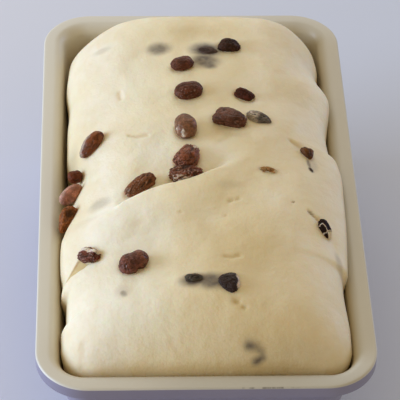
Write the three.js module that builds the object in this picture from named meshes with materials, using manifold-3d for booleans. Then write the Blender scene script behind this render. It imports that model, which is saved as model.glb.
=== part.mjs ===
// Raisin bread: risen, unbaked dough with raisins, standing in its own loaf tin.
// Millimetres, +Z up. +Y runs along the tin towards its back end, and the origin is under the
// middle of the tin's base. The tin, the dough and every raisin that shows are each one solid.
import * as THREE from 'three';
import { mergeVertices } from 'three/addons/utils/BufferGeometryUtils.js';
import Module from 'manifold-3d';

const wasm = await Module();
wasm.setup();

const GAP = 0.35; // clearance kept between touching pieces

// Tin
const RIM_HALF_W = 62.5; // half of the width over the rim
const RIM_HALF_L = 110;
const RIM_CORNER = 19.5;
const TIN_H = 66;
const SHEET = 0.9;
const SKIRT = 5.5; // drop of the rim's turned-down edge
const RIM_EDGE = 0.7; // rounding along the rim's outer edge
const FLAT = 4; // flat width of the rim, before it rolls down into the wall
const ROLL = 4; // radius of that roll
const WALL_INSET = FLAT + ROLL; // inner wall, measured in from the rim's outer edge
const WALL_HALF_W = RIM_HALF_W - WALL_INSET;
const WALL_HALF_L = RIM_HALF_L - WALL_INSET;
const WALL_CORNER = 9.5;
const FLOOR_HALF_W = 44; // inner half width where wall and floor planes meet
const TAPER = (WALL_HALF_W - FLOOR_HALF_W) / (TIN_H - SHEET);
const FLOOR_ROUND = 7; // inner radius between wall and floor
const CORNER_STEPS = 8;

// Dough
const EDGE_Z = -4; // where the dough leaves the wall, measured from the rim plane
const SHOULDER = 27; // width over which the dough rounds up from its edge
const SHOULDER_BACK = 26;
const ROUNDNESS = 2.2;
const CROWN_EDGE = 14; // height of the crown over the rim, out towards the sides
const CROWN_EXTRA = 6.5; // how much more it rises in the middle
const FRONT_CORNERS = [13, 12]; // corner radii of the dough's outline, left and right
const BACK_CORNERS = [24, 18];
const COLUMNS = 18;
const ROWS = 36;

const PAINT = new THREE.MeshStandardMaterial({ color: 0xc9c4ad, roughness: 0.42, metalness: 0.0 });
const DOUGH = new THREE.MeshStandardMaterial({ color: 0xe9ddbd, roughness: 0.7, metalness: 0.0 });
const RAISIN = new THREE.MeshStandardMaterial({ color: 0x4a2216, roughness: 0.35, metalness: 0.0 });

const bump = (t, middle, width) => Math.exp(-(((t - middle) / width) ** 2));
const mix = (a, b, t) => a + (b - a) * t;
const smooth = (from, to, t) => THREE.MathUtils.smoothstep(t, from, to);

// How far the inner wall has come in at a height below the rim plane (z is negative or 0).
function wallLean(z) {
  return -z * TAPER;
}

// ---- closed skins ------------------------------------------------------------------------

// One loop of a rectangle with round corners, counter-clockwise from above.
function roundedLoop(halfW, halfL, radius, z) {
  const points = [];
  for (let corner = 0; corner < 4; corner++) {
    const sx = corner === 0 || corner === 3 ? 1 : -1;
    const sy = corner < 2 ? 1 : -1;
    for (let step = 0; step <= CORNER_STEPS; step++) {
      const angle = (corner + step / CORNER_STEPS) * Math.PI / 2;
      points.push([
        sx * (halfW - radius) + radius * Math.cos(angle),
        sy * (halfL - radius) + radius * Math.sin(angle),
        z,
      ]);
    }
  }
  return points;
}

function geometryFrom(vertices, triangles) {
  const geometry = new THREE.BufferGeometry();
  geometry.setAttribute('position', new THREE.Float32BufferAttribute(vertices.flat(), 3));
  geometry.setIndex(triangles.flat());
  return geometry;
}

// Joins loops of equal length, from the middle of the underside out, up, over and back in.
function skinLoops(loops) {
  const count = loops[0].length;
  const vertices = loops.flat();
  const triangles = [];
  for (let k = 0; k + 1 < loops.length; k++) {
    for (let i = 0; i < count; i++) {
      const next = (i + 1) % count;
      triangles.push([k * count + i, k * count + next, (k + 1) * count + next]);
      triangles.push([k * count + i, (k + 1) * count + next, (k + 1) * count + i]);
    }
  }
  const under = vertices.length;
  vertices.push([0, 0, loops[0][0][2]]);
  const over = vertices.length;
  const last = (loops.length - 1) * count;
  vertices.push([0, 0, loops[loops.length - 1][0][2]]);
  for (let i = 0; i < count; i++) {
    const next = (i + 1) % count;
    triangles.push([under, next, i]);
    triangles.push([last + i, last + next, over]);
  }
  return geometryFrom(vertices, triangles);
}

// ---- tin ---------------------------------------------------------------------------------

// A folded sheet: base, leaning wall, rolled-out flat rim and its turned-down edge.
function tinGeometry() {
  const loops = [];
  const add = (inset, z, corner) => {
    loops.push(roundedLoop(RIM_HALF_W - inset, RIM_HALF_L - inset, corner, z));
  };
  const innerInset = (z) => WALL_INSET + wallLean(z - TIN_H);
  const outerInset = (z) => innerInset(z) - SHEET;
  const quarter = (steps, draw) => {
    for (let step = 0; step <= steps; step++) {
      draw(step / steps * Math.PI / 2);
    }
  };
  const outerRound = FLOOR_ROUND + SHEET;
  quarter(3, (a) => {
    const z = outerRound * (1 - Math.cos(a));
    add(outerInset(z) + outerRound * (1 - Math.sin(a)), z, WALL_CORNER + SHEET - 1.5 * Math.cos(a));
  });
  const underRim = TIN_H - SHEET;
  const fillet = 1.6;
  quarter(2, (a) => {
    const z = underRim - fillet * (1 - Math.sin(a));
    const inset = outerInset(underRim - fillet) - fillet * (1 - Math.cos(a));
    add(inset, z, WALL_CORNER + SHEET + fillet * (1 - Math.cos(a)));
  });
  add(SHEET, underRim, RIM_CORNER - SHEET);
  add(SHEET, TIN_H - SKIRT, RIM_CORNER - SHEET);
  add(0, TIN_H - SKIRT, RIM_CORNER);
  quarter(2, (a) => {
    add(RIM_EDGE * (1 - Math.cos(a)), TIN_H - RIM_EDGE * (1 - Math.sin(a)), RIM_CORNER);
  });
  quarter(4, (a) => {
    const inset = FLAT + ROLL * Math.sin(a);
    add(inset + wallLean(-ROLL * (1 - Math.cos(a))) * Math.sin(a), TIN_H - ROLL * (1 - Math.cos(a)),
      mix(RIM_CORNER - FLAT, WALL_CORNER, Math.sin(a)));
  });
  quarter(3, (b) => {
    const a = Math.PI / 2 - b;
    const z = SHEET + FLOOR_ROUND * (1 - Math.cos(a));
    add(innerInset(z) + FLOOR_ROUND * (1 - Math.sin(a)), z, WALL_CORNER - 1.5 * Math.cos(a));
  });
  return skinLoops(loops);
}

// ---- dough -------------------------------------------------------------------------------

// How deep the short gaps are that open beside the dough, along the left and the right side.
function clefts(side, y) {
  if (side < 0) {
    return 1.6 * smooth(-81, -79.5, y) * (1 - smooth(-65, -62, y)) + 0.5 * bump(y, -56, 3.5);
  }
  return 1.2 * smooth(7.5, 9, y) * (1 - smooth(24, 38, y))
    + 1.4 * smooth(54, 57, -y) * (1 - smooth(58, 84, -y));
}

// How far the dough's edge stands back from the tin's wall. A minus value is a bulge out over
// the rim.
function standBack(side, y) {
  if (side < 0) {
    return 4.4 * bump(y, -2, 11) + 2 * bump(y, -20, 8) + 1.1 * bump(y, 24, 18)
      + 1.3 * bump(y, 46, 10) + 1.1 * bump(y, 84, 22) - 0.5 * bump(y, -40, 14)
      + 0.2 * smooth(74, 90, -y) + clefts(side, y);
  }
  return 0.8 * bump(y, 84, 14) + 1.3 * bump(y, 64, 6) - 1.5 * bump(y, 45, 7)
    - 2.7 * bump(y, -20, 36) - 0.9 * bump(y, -2, 10) + clefts(side, y);
}

// The edge sinks where the dough stands back, and lifts clear of the rim's roll where it bulges.
function edgeHeight(side, y) {
  const back = standBack(side, y);
  const lift = back < 0 ? 6.5 * (1 - Math.exp(1.2 * back)) : -1.1 * back;
  return EDGE_Z + lift - 2.5 * smooth(40, 100, y);
}

function cornerCut(radius, past) {
  const reach = Math.min(Math.max(past, 0), radius);
  return radius - Math.sqrt(radius * radius - reach * reach);
}

// Half length and half widths of the dough's outline, in plan.
const OUTLINE_HALF_L = WALL_HALF_L - wallLean(EDGE_Z - 2.5) - GAP;

function cornerRadius(side, end) {
  return (end > 0 ? BACK_CORNERS : FRONT_CORNERS)[side < 0 ? 0 : 1];
}

function outlineX(side, y) {
  const z = Math.min(edgeHeight(side, y), -ROLL);
  const radius = cornerRadius(side, y);
  const cut = cornerCut(radius, Math.abs(y) - (OUTLINE_HALF_L - radius));
  return side * (WALL_HALF_W - wallLean(z) - GAP - standBack(side, y) - cut);
}

function outlineY(end, x) {
  const radius = cornerRadius(x, end);
  const halfW = WALL_HALF_W - wallLean(EDGE_Z) - GAP;
  return end * (OUTLINE_HALF_L - cornerCut(radius, Math.abs(x) - (halfW - radius)));
}

// The front roll of dough laps over the middle one along this line.
function foldY(x) {
  return -15.9 + 0.6 * x + 0.0042 * x * x - 0.9 * Math.sin((x + 9) / 6.6) + 0.9 * bump(x, -16, 9);
}

function shoulder(distance, width) {
  const t = Math.min(Math.max(distance / width, 0), 1);
  return (1 - (1 - t) ** ROUNDNESS) ** (1 / ROUNDNESS);
}

// Height of the dough's top over the rim plane.
function doughTop(x, y) {
  const left = outlineX(-1, y);
  const right = outlineX(1, y);
  const across = Math.min(Math.max((x - left) / (right - left), 0), 1);
  const edge = mix(edgeHeight(-1, y), edgeHeight(1, y), across);
  let crown = CROWN_EDGE;
  crown += CROWN_EXTRA * (1 - (x / 54) ** 2) * (1 - 0.55 * (y / 102) ** 2);
  const past = y - foldY(Math.min(x, 20));
  const lap = 1 - smooth(0, 24, x);
  const behind = smooth(-1.2, 1.8, past);
  crown += lap * mix(1.7 * bump(past, -9, 13), -3.2 * Math.exp(-Math.max(past, 0) / 13), behind);
  crown -= 1.1 * bump(y - 0.12 * x, 28, 9);
  crown -= 5.3 * bump(x, -48, 16) * bump(y, 94, 17) + 3 * bump(x, 52, 12) * bump(y, 87, 13);
  crown += 1.2 * bump(x, 12, 26) * bump(y, 90, 14);
  crown += 0.5 * Math.sin(x / 13 + 1) * Math.sin(y / 17) + 0.3 * Math.sin((x - y) / 9);
  const inward = (side, reach) => reach + clefts(side, y) * (1 - bump(reach, 0, 1.8));
  const rise = shoulder(inward(-1, x - left), SHOULDER) * shoulder(inward(1, right - x), SHOULDER)
    * shoulder(y - outlineY(-1, x), SHOULDER) * shoulder(outlineY(1, x) - y, SHOULDER_BACK);
  return mix(edge, crown, rise);
}

// A sheet of rows and columns over the outline, closer together at the edges and at the fold.
function doughGeometry() {
  const crowd = (t) => mix(t, Math.sin(t * Math.PI / 2), 0.75);
  const vertices = [];
  const triangles = [];
  for (let row = 0; row <= ROWS; row++) {
    let along = OUTLINE_HALF_L * crowd(2 * row / ROWS - 1);
    const middle = foldY(0);
    along -= 0.6 * (along - middle) * bump(along, middle, 14);
    for (let column = 0; column <= COLUMNS; column++) {
      const u = (crowd(2 * column / COLUMNS - 1) + 1) / 2;
      const guide = mix(-WALL_HALF_W, WALL_HALF_W, u);
      const bend = foldY(Math.min(guide, 16)) - middle;
      const y = along + bend * bump(along, middle, 32) * (1 - (along / OUTLINE_HALF_L) ** 8);
      const x = mix(outlineX(-1, y), outlineX(1, y), u);
      vertices.push([x, y, TIN_H + doughTop(x, y)]);
    }
  }
  const at = (row, column) => row * (COLUMNS + 1) + column;
  for (let row = 0; row < ROWS; row++) {
    for (let column = 0; column < COLUMNS; column++) {
      triangles.push([at(row, column), at(row, column + 1), at(row + 1, column + 1)]);
      triangles.push([at(row, column), at(row + 1, column + 1), at(row + 1, column)]);
    }
  }
  const edge = [];
  for (let column = 0; column < COLUMNS; column++) {
    edge.push(at(0, column));
  }
  for (let row = 0; row < ROWS; row++) {
    edge.push(at(row, COLUMNS));
  }
  for (let column = COLUMNS; column > 0; column--) {
    edge.push(at(ROWS, column));
  }
  for (let row = ROWS; row > 0; row--) {
    edge.push(at(row, 0));
  }
  const rings = [
    { top: TIN_H - 4, under: 2, inset: 0, keep: 0.9, corner: 5 },
    { top: TIN_H - 12, under: 0, inset: 0, keep: 0.05, corner: 2 },
    { top: TIN_H - 34, under: 0, inset: 0, keep: 0, corner: 0.5 },
    { top: SHEET + GAP + FLOOR_ROUND, under: 0, inset: 0, keep: 0, corner: 0.5 },
    { top: SHEET + GAP + FLOOR_ROUND * 0.29, under: 0, inset: FLOOR_ROUND * 0.29, keep: 0, corner: 0 },
    { top: SHEET + GAP, under: 0, inset: FLOOR_ROUND, keep: 0, corner: -1 },
  ];
  let above = edge;
  for (const ring of rings) {
    const current = [];
    for (const index of edge) {
      const [x, y, topZ] = vertices[index];
      const z = Math.min(ring.top, topZ - ring.under);
      const lean = wallLean(z - TIN_H) + GAP + ring.inset;
      const halfW = WALL_HALF_W - lean;
      const halfL = WALL_HALF_L - lean;
      const radius = WALL_CORNER + 0.5 + ring.corner;
      const onEnd = Math.abs(y) > OUTLINE_HALF_L - 0.01;
      const ringY = Math.sign(y) * Math.min(Math.abs(y) / OUTLINE_HALF_L, 1) * halfL;
      const side = Math.sign(x) || 1;
      const cut = cornerCut(radius, Math.abs(ringY) - (halfL - radius));
      const back = ring.keep * Math.max(standBack(side, y), -0.25 * standBack(side, y));
      const cornerX = WALL_HALF_W - wallLean(EDGE_Z) - GAP - cornerRadius(side, y);
      const ringX = onEnd ? x / cornerX * (halfW - radius) : side * (halfW - cut - back);
      current.push(vertices.length);
      vertices.push([ringX, ringY, z]);
    }
    for (let i = 0; i < edge.length; i++) {
      const next = (i + 1) % edge.length;
      triangles.push([current[i], current[next], above[next]]);
      triangles.push([current[i], above[next], above[i]]);
    }
    above = current;
  }
  const under = vertices.length;
  vertices.push([0, 0, SHEET + GAP]);
  for (let i = 0; i < edge.length; i++) {
    triangles.push([under, above[(i + 1) % edge.length], above[i]]);
  }
  return geometryFrom(vertices, triangles);
}

// ---- raisins -----------------------------------------------------------------------------

// at: place in plan. size: length, width and thickness. turn: degrees from +X in the dough's
// surface. rise: the middle's height over that surface. z: the middle's height over the rim, for
// a raisin beside the dough or against its fold, whose own lean is its tilt.
const RAISINS = [
  { at: [14.3, 63.5], size: [8.8, 7.8, 6.2], turn: -14, rise: 0.6 },
  { at: [-5.3, 50.3], size: [10.0, 7.2, 5.8], turn: 24, rise: 1.2 },
  { at: [5.6, 61.0], size: [8.6, 5.6, 4.6], turn: -18, rise: -1.5 },
  { at: [-3.3, 33.1], size: [10.5, 7.6, 6.0], turn: 14, rise: 1.3 },
  { at: [19.2, 32.4], size: [8.8, 6.2, 5.4], turn: -34, rise: 0.5 },
  { at: [12.5, 14.9], size: [13.0, 9.0, 7.2], turn: -18, rise: 1.0 },
  { at: [24.1, 16.8], size: [8.8, 6.2, 5.6], turn: -20, rise: -0.2 },
  { at: [-5.0, 9.3], size: [9.0, 11.2, 8.0], turn: 6, rise: 2.0 },
  { at: [-5.0, -6.9], size: [11.6, 9.2, 8.0], turn: 62, z: 20.6, tilt: 0 },
  { at: [-5.7, -15.9], size: [12.6, 7.2, 6.8], turn: 10, z: 19.6, tilt: 3 },
  { at: [-23.5, -20.9], size: [13.4, 5.8, 6.0], turn: 37, z: 18.3, tilt: 12 },
  { at: [-41.4, 9.8], size: [12.6, 6.4, 6.0], turn: 40, rise: 1.0 },
  { at: [-48.7, 0.6], size: [5.6, 4.8, 5.0], turn: 20, z: 3.8, tilt: 0 },
  { at: [-50.1, -9.4], size: [10.8, 6.2, 6.2], turn: 42, z: 3.6, tilt: 14 },
  { at: [-51.3, -22.4], size: [11.6, 6.6, 5.8], turn: 58, z: 2.4, tilt: 34 },
  { at: [-42.0, -55.5], size: [9.2, 6.6, 5.6], turn: -30, rise: 0.6 },
  { at: [-26.3, -63.7], size: [11.2, 8.4, 7.4], turn: 24, rise: 1.6 },
  { at: [-4.2, -72.8], size: [7.4, 4.4, 4.6], turn: 8, rise: -1.1 },
  { at: [8.0, -75.2], size: [7.6, 8.0, 5.6], turn: -8, rise: -0.4 },
  { at: [42.6, 0.4], size: [5.6, 4.8, 4.2], turn: -78, rise: 0.2 },
  { at: [26.1, -12.9], size: [7.9, 3.8, 2.8], turn: -14, rise: -0.5 },
  { at: [46.3, -41.0], size: [8.2, 4.6, 4.4], turn: -58, rise: 0.1 },
];

// A raisin's skin: an egg-like ball, a little narrower at one end, drawn in by a few long folds.
function raisinGeometry(size, number, extra) {
  const ball = new THREE.SphereGeometry(1, 12, 6);
  ball.rotateZ(-Math.PI / 2);
  ball.deleteAttribute('normal');
  ball.deleteAttribute('uv');
  const geometry = mergeVertices(ball);
  const position = geometry.getAttribute('position');
  for (let i = 0; i < position.count; i++) {
    const x = position.getX(i);
    const around = Math.atan2(position.getZ(i), position.getY(i));
    const pinch = 1 - 0.12 * x - 0.06 * x * x;
    const folds = 1 + 0.05 * Math.cos(3 * around + number) + 0.04 * Math.cos(2 * around + 2.3 * number);
    position.setXYZ(i,
      x * (size[0] / 2 + extra),
      position.getY(i) * pinch * folds * (size[1] / 2 + extra),
      position.getZ(i) * pinch * folds * (size[2] / 2 + extra));
  }
  return geometry;
}

function raisinPlace(spec) {
  const [x, y] = spec.at;
  const turn = new THREE.Quaternion().setFromAxisAngle(
    new THREE.Vector3(0, 0, 1), THREE.MathUtils.degToRad(spec.turn));
  if (spec.z !== undefined) {
    const tilt = new THREE.Quaternion().setFromAxisAngle(
      new THREE.Vector3(0, 1, 0), -THREE.MathUtils.degToRad(spec.tilt));
    return new THREE.Matrix4().compose(
      new THREE.Vector3(x, y, TIN_H + spec.z), turn.multiply(tilt), new THREE.Vector3(1, 1, 1));
  }
  const reach = 2.5;
  const slopeX = (doughTop(x + reach, y) - doughTop(x - reach, y)) / (2 * reach);
  const slopeY = (doughTop(x, y + reach) - doughTop(x, y - reach)) / (2 * reach);
  const normal = new THREE.Vector3(-slopeX, -slopeY, 1).normalize();
  const lean = new THREE.Quaternion().setFromUnitVectors(new THREE.Vector3(0, 0, 1), normal);
  const centre = new THREE.Vector3(x, y, TIN_H + doughTop(x, y)).addScaledVector(normal, spec.rise);
  return new THREE.Matrix4().compose(centre, lean.multiply(turn), new THREE.Vector3(1, 1, 1));
}

function solid(geometry) {
  const mesh = new wasm.Mesh({
    numProp: 3,
    vertProperties: new Float32Array(geometry.getAttribute('position').array),
    triVerts: new Uint32Array(geometry.getIndex().array),
  });
  return new wasm.Manifold(mesh);
}

function geometryOf(body) {
  const mesh = body.getMesh();
  const geometry = new THREE.BufferGeometry();
  geometry.setAttribute('position', new THREE.BufferAttribute(mesh.vertProperties, 3));
  geometry.setIndex(new THREE.BufferAttribute(mesh.triVerts, 1));
  return geometry;
}

// ---- the whole ---------------------------------------------------------------------------

const loaf = new THREE.Group();
loaf.name = 'raisin_bread';

function addPiece(name, geometry, material) {
  geometry.computeVertexNormals();
  const mesh = new THREE.Mesh(geometry, material);
  mesh.name = name;
  loaf.add(mesh);
}

addPiece('loaf_tin', tinGeometry(), PAINT);

let dough = solid(doughGeometry());
RAISINS.forEach((spec, index) => {
  const place = raisinPlace(spec);
  const hollow = solid(raisinGeometry(spec.size, index + 1, GAP).applyMatrix4(place));
  dough = dough.subtract(hollow);
  const geometry = raisinGeometry(spec.size, index + 1, 0).applyMatrix4(place);
  addPiece(`raisin_${String(index + 1).padStart(2, '0')}`, geometry, RAISIN);
});
addPiece('dough', geometryOf(dough), DOUGH);

export default loaf;
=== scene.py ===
"""Raisin bread: risen, unbaked dough with raisins, in the cream loaf tin it is baked in.

Lengths are millimetres in the same frame as the solids and become metres in add_skin. The
dough's top is worked out as a height over the tin's rim, so RIM_Z is added last.
"""
import math

import bpy
import numpy as np
from mathutils import Matrix, Vector


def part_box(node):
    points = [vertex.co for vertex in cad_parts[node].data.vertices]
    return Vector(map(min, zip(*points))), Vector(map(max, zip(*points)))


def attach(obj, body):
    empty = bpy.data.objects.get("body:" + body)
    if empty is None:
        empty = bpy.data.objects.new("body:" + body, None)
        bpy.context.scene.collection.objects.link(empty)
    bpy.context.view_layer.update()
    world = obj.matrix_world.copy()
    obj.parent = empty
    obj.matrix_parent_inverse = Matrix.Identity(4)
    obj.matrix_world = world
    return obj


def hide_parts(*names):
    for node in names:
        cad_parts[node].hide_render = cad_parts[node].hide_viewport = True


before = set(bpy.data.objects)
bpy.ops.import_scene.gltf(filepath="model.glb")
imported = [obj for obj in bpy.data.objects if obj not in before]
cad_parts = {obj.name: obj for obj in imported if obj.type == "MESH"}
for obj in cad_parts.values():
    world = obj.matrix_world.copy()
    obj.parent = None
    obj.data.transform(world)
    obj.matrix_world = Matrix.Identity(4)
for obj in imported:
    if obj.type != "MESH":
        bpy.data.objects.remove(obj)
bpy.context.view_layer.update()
MM = 0.001

# ---- sizes -------------------------------------------------------------------------------------

# Half the width and length over the tin's rim, and the rim's height
RIM_HALF_W, RIM_HALF_L, RIM_Z = np.array(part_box("loaf_tin")[1]) / MM
RIM_CORNER = 19.5  # corner radius of the rim, in plan
SHEET = 0.9
SKIRT = 5.5  # how far down the rim's outer edge is turned
RIM_EDGE = 0.7  # rounding of the rim's outer edge
FLAT = 4.0  # the rim's level part
ROLL = 4.0  # and the round part that leads from it into the wall
WALL_INSET = FLAT + ROLL
WALL_HALF_W = RIM_HALF_W - WALL_INSET
WALL_HALF_L = RIM_HALF_L - WALL_INSET
WALL_CORNER = 9.5
FLOOR_HALF_W = 44
FLOOR_ROUND = 7  # radius between the wall and the floor
FLOOR_TUCK = 1.5  # how much smaller the corner radius gets round that curve
TAPER = (WALL_HALF_W - FLOOR_HALF_W) / (RIM_Z - SHEET)

GAP = 0.3  # between the dough and the wall
EDGE_Z = -4  # the dough's edge, under the rim
BACK_SINK = 2.5  # how much lower that edge lies at the back end
BULGE_LIFT = 6.5  # how much higher it can lie where the dough bulges over the wall
SHOULDER = 27  # width of the round shoulder inside the edge, and of the one at the back end
SHOULDER_BACK = 26
ROUNDNESS = 2.2  # the shoulder's power: 2 is a quarter circle
CROWN_EDGE = 14  # height of the crown at its sides, and how much higher its middle is
CROWN_EXTRA = 6.5
CROWN_HALF_W = 54
CROWN_HALF_L = 102
FRONT_CORNERS = 13, 12  # corner radii of the dough's outline, left and right
BACK_CORNERS = 24, 18
LIP = 2.4  # radius of the fold's rolled-over lip
VEIL = 0.15  # a raisin that is lower than this over the dough is hidden by its skin

# Raisins. Each takes from PLAIN_RAISIN what its own row leaves out.
#   size: length, width and thickness. turn: degrees from +X in the dough's surface.
#   skin: colour of its ridges. fold: how deep its creases are. gloss: 0 to 1.
#   tilt: its own lean, for one beside the dough or against the fold; the others lie on the slope.
#   recess: it stands beside the dough, which isn't lowered under it.
#   blunt: over 2 is squarer. uneven: how lumpy. taper: how much narrower its +x end is.
#   waist: where, how deep and facing which heading it is drawn in. narrow: the waist's width.
#   pit: a dent in one side, as direction, radius and depth.
#   ruddy: how much redder its +x end is. Its sparkle: how pale the painted highlight specks on its ridges
#       are.
#   film_and_sheen: torn pale dough skin over it, but a painted highlight on raisins 11 and 12 and a
#       painted
#   sheen on raisin 14; as amount, heading, how near that heading it starts, and how patchy.
#   soft: how soft the film's edge is. limit: it stops this near the heading.
#   sunken: it lies in the skin, which fades out over it up to that height.
#   shaded: that skin is dark. ragged: the skin's edge is torn. cracks: the skin is split by lines.
PLAIN_RAISIN = dict(tilt=None, recess=False, gloss=0.5, blunt=2, uneven=0.20, taper=0.10,
                    waist=(0, 0, 0), narrow=0.30, pit=None, ruddy=0, painted_sparkle=0,
                    film_and_sheen=(0, 0, 0, 0), soft=0.08, limit=9,
                    sunken=0, shaded=False, ragged=False, cracks=False)
RAISINS = {
    "raisin_01": dict(size=(9.2, 7.8, 6.4), turn=-14, skin=(0.048, 0.019, 0.012), fold=0.16,
                      gloss=0.2),
    "raisin_02": dict(size=(10.0, 7.2, 5.8), turn=24, skin=(0.125, 0.036, 0.019), fold=0.14,
                      uneven=0.12),
    "raisin_03": dict(size=(9.0, 6.2, 4.8), turn=-18, skin=(0.082, 0.050, 0.040), fold=0.10,
                      gloss=0, sunken=0.45, shaded=True),
    "raisin_04": dict(size=(10.5, 7.6, 6.0), turn=14, skin=(0.113, 0.032, 0.016), fold=0.09,
                      blunt=3, uneven=0.14, painted_sparkle=0.15),
    "raisin_05": dict(size=(8.8, 6.2, 5.4), turn=-34, skin=(0.066, 0.013, 0.006), fold=0.18,
                      gloss=0.2),
    "raisin_06": dict(size=(13.4, 8.8, 7.2), turn=-22, skin=(0.135, 0.048, 0.028), fold=0.14,
                      blunt=2.7, uneven=0.14, film_and_sheen=(0.5, 10, 0.75, 1), painted_sparkle=0.08),
    "raisin_07": dict(size=(10.0, 6.4, 5.6), turn=-24, skin=(0.180, 0.155, 0.135), fold=0.18,
                      gloss=0.2, film_and_sheen=(0.85, 165, 0.34, 0.55), soft=0.30, sunken=0.3),
    "raisin_08": dict(size=(9.0, 11.2, 8.0), turn=6, skin=(0.215, 0.090, 0.044), fold=0.06,
                      blunt=2.15, uneven=0.09, gloss=0.85, film_and_sheen=(1.0, -125, 0.970, 0)),
    "raisin_09": dict(size=(11.6, 9.2, 8.0), turn=62, tilt=0, skin=(0.220, 0.062, 0.026),
                      fold=0.26, blunt=2.5, uneven=0.16, gloss=0.7, film_and_sheen=(0.9, 35, 0.80, 0),
                      painted_sparkle=0.12),
    "raisin_10": dict(size=(12.6, 7.2, 6.8), turn=10, tilt=3, skin=(0.168, 0.047, 0.020),
                      fold=0.28, blunt=2.5, gloss=0.7, film_and_sheen=(0.70, -105, 0.80, 1), painted_sparkle=0.5),
    # Its film is a painted highlight at its lower-left end.
    "raisin_11": dict(size=(13.4, 5.8, 6.0), turn=37, tilt=12, skin=(0.200, 0.068, 0.026),
                      fold=0.20, blunt=2.6, uneven=0.10, taper=-0.22, ruddy=1,
                      film_and_sheen=(0.22, -160, 0.80, 0.6), painted_sparkle=0.22),
    # Its film is a painted highlight along its left side.
    "raisin_12": dict(size=(12.8, 6.4, 5.8), turn=29, skin=(0.155, 0.031, 0.002), fold=0.12,
                      uneven=0.07, taper=-0.12, ruddy=1, gloss=0.8,
                      film_and_sheen=(0.5, 148, 0.12, 0.3), soft=0.15, painted_sparkle=0.04),
    "raisin_13": dict(size=(5.6, 4.8, 5.0), turn=20, tilt=0, recess=True,
                      skin=(0.155, 0.032, 0.009), fold=0.14, blunt=2.4, uneven=0.14),
    # Its film is a painted sheen on its left side.
    "raisin_14": dict(size=(10.8, 6.2, 6.2), turn=42, tilt=14, recess=True,
                      skin=(0.360, 0.135, 0.082), fold=0.03, uneven=0.05, taper=0, gloss=0.8,
                      ruddy=1, film_and_sheen=(0.35, 165, 0.45, 0.3), soft=0.5),
    "raisin_15": dict(size=(11.6, 6.6, 5.8), turn=58, tilt=34, recess=True,
                      skin=(0.255, 0.074, 0.012), fold=0.26, uneven=0.10, taper=-0.30,
                      ruddy=1, pit=((0.45, -0.25, 0.86), 0.34, 0.30)),
    "raisin_16": dict(size=(9.2, 6.6, 5.6), turn=-30, skin=(0.148, 0.036, 0.019), fold=0.26,
                      blunt=2.4, waist=(0.15, 0.28, 85), film_and_sheen=(1.0, 62, 0.22, 0),
                      limit=0.75, painted_sparkle=0.3),
    "raisin_17": dict(size=(11.2, 8.4, 7.4), turn=24, skin=(0.150, 0.046, 0.030), fold=0.15,
                      blunt=2.3, uneven=0.10, taper=0.12, waist=(0.12, 0.26, -75), ruddy=1,
                      gloss=0.7, narrow=0.20, painted_sparkle=0.02),
    "raisin_18": dict(size=(8.4, 4.8, 4.6), turn=8, skin=(0.086, 0.072, 0.053), fold=0.20,
                      gloss=0.2, sunken=0.05, shaded=True),
    "raisin_19": dict(size=(7.6, 8.0, 5.6), turn=-8, skin=(0.027, 0.015, 0.015), fold=0.16,
                      blunt=3, taper=-0.36, film_and_sheen=(0.9, -5, 0.80, 0), sunken=0.1),
    "raisin_20": dict(size=(5.6, 4.8, 4.2), turn=-78, skin=(0.135, 0.052, 0.014), fold=0.20,
                      blunt=2.4, taper=0.60, sunken=0.3),
    "raisin_21": dict(size=(7.9, 3.8, 2.8), turn=-14, skin=(0.450, 0.235, 0.083), fold=0.42,
                      gloss=0, sunken=0.15, ragged=True),
    "raisin_22": dict(size=(7.8, 4.3, 4.4), turn=-58, skin=(0.016, 0.006, 0.004), fold=0.16,
                      blunt=2.6, cracks=True, sunken=0.15, gloss=0),
}
for node, own in RAISINS.items():
    low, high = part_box(node)
    RAISINS[node] = {**PLAIN_RAISIN, **own, "middle": np.array((low + high) / 2) / MM}


# ---- small helpers -----------------------------------------------------------------------------

def bump(t, middle, width):
    """A bell: 1 at the middle, falling off over the width."""
    return np.exp(-(((t - middle) / width) ** 2))


def mix(a, b, t):
    """a where t is 0, b where t is 1, and a straight line between."""
    return a + (b - a) * t


def smooth(start, end, t):
    """0 before start, 1 after end, and an even S between them."""
    s = np.clip((t - start) / (end - start), 0, 1)
    return s * s * (3 - 2 * s)


def swell(x, y, scale, seed):
    """Soft random swells: sine waves in seeded directions, each 0.7 to 1.4 of the scale long."""
    waves = 9
    rng = np.random.default_rng(seed)
    total = 0
    for heading, phase, stretch in rng.uniform(0, 1, (waves, 3)):
        angle = heading * 2 * np.pi
        length = scale * (0.7 + 0.7 * stretch)
        along = x * np.cos(angle) + y * np.sin(angle)
        total = total + np.sin(along * 2 * np.pi / length + phase * 6.28)
    return total / math.sqrt(waves)


def lattice(points, seed):
    """Smooth 3-D noise from about -1 to 1: seeded values on a unit lattice, eased between.

    The lattice starts over after eight cells.
    """
    cells = 8
    values = np.random.default_rng(seed).uniform(-1, 1, (cells, cells, cells))
    cell = np.floor(points).astype(int)
    ease = points - cell
    ease = ease * ease * (3 - 2 * ease)
    total = 0
    for corner in np.ndindex(2, 2, 2):
        weight = np.prod(np.where(corner, ease, 1 - ease), -1)
        spot = (cell + np.array(corner)) % cells
        total = total + weight * values[spot[..., 0], spot[..., 1], spot[..., 2]]
    return total


def grid_faces(rows, columns, wrap=False):
    """Quads between the neighbours of a grid stored row by row; wrap joins its two sides."""
    row = np.arange(rows - 1)[:, None] * columns
    column = np.arange(columns if wrap else columns - 1)[None, :]
    following = (column + 1) % columns
    quads = np.stack([row + column, row + following,
                      row + columns + following, row + columns + column], -1)
    return quads.reshape(-1, 4).tolist()


def fan_faces(loop, middle):
    """Triangles from a loop of points to one middle point."""
    following = np.roll(loop, -1)
    return np.stack([loop, following, np.full(len(loop), middle)], -1).tolist()


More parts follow.
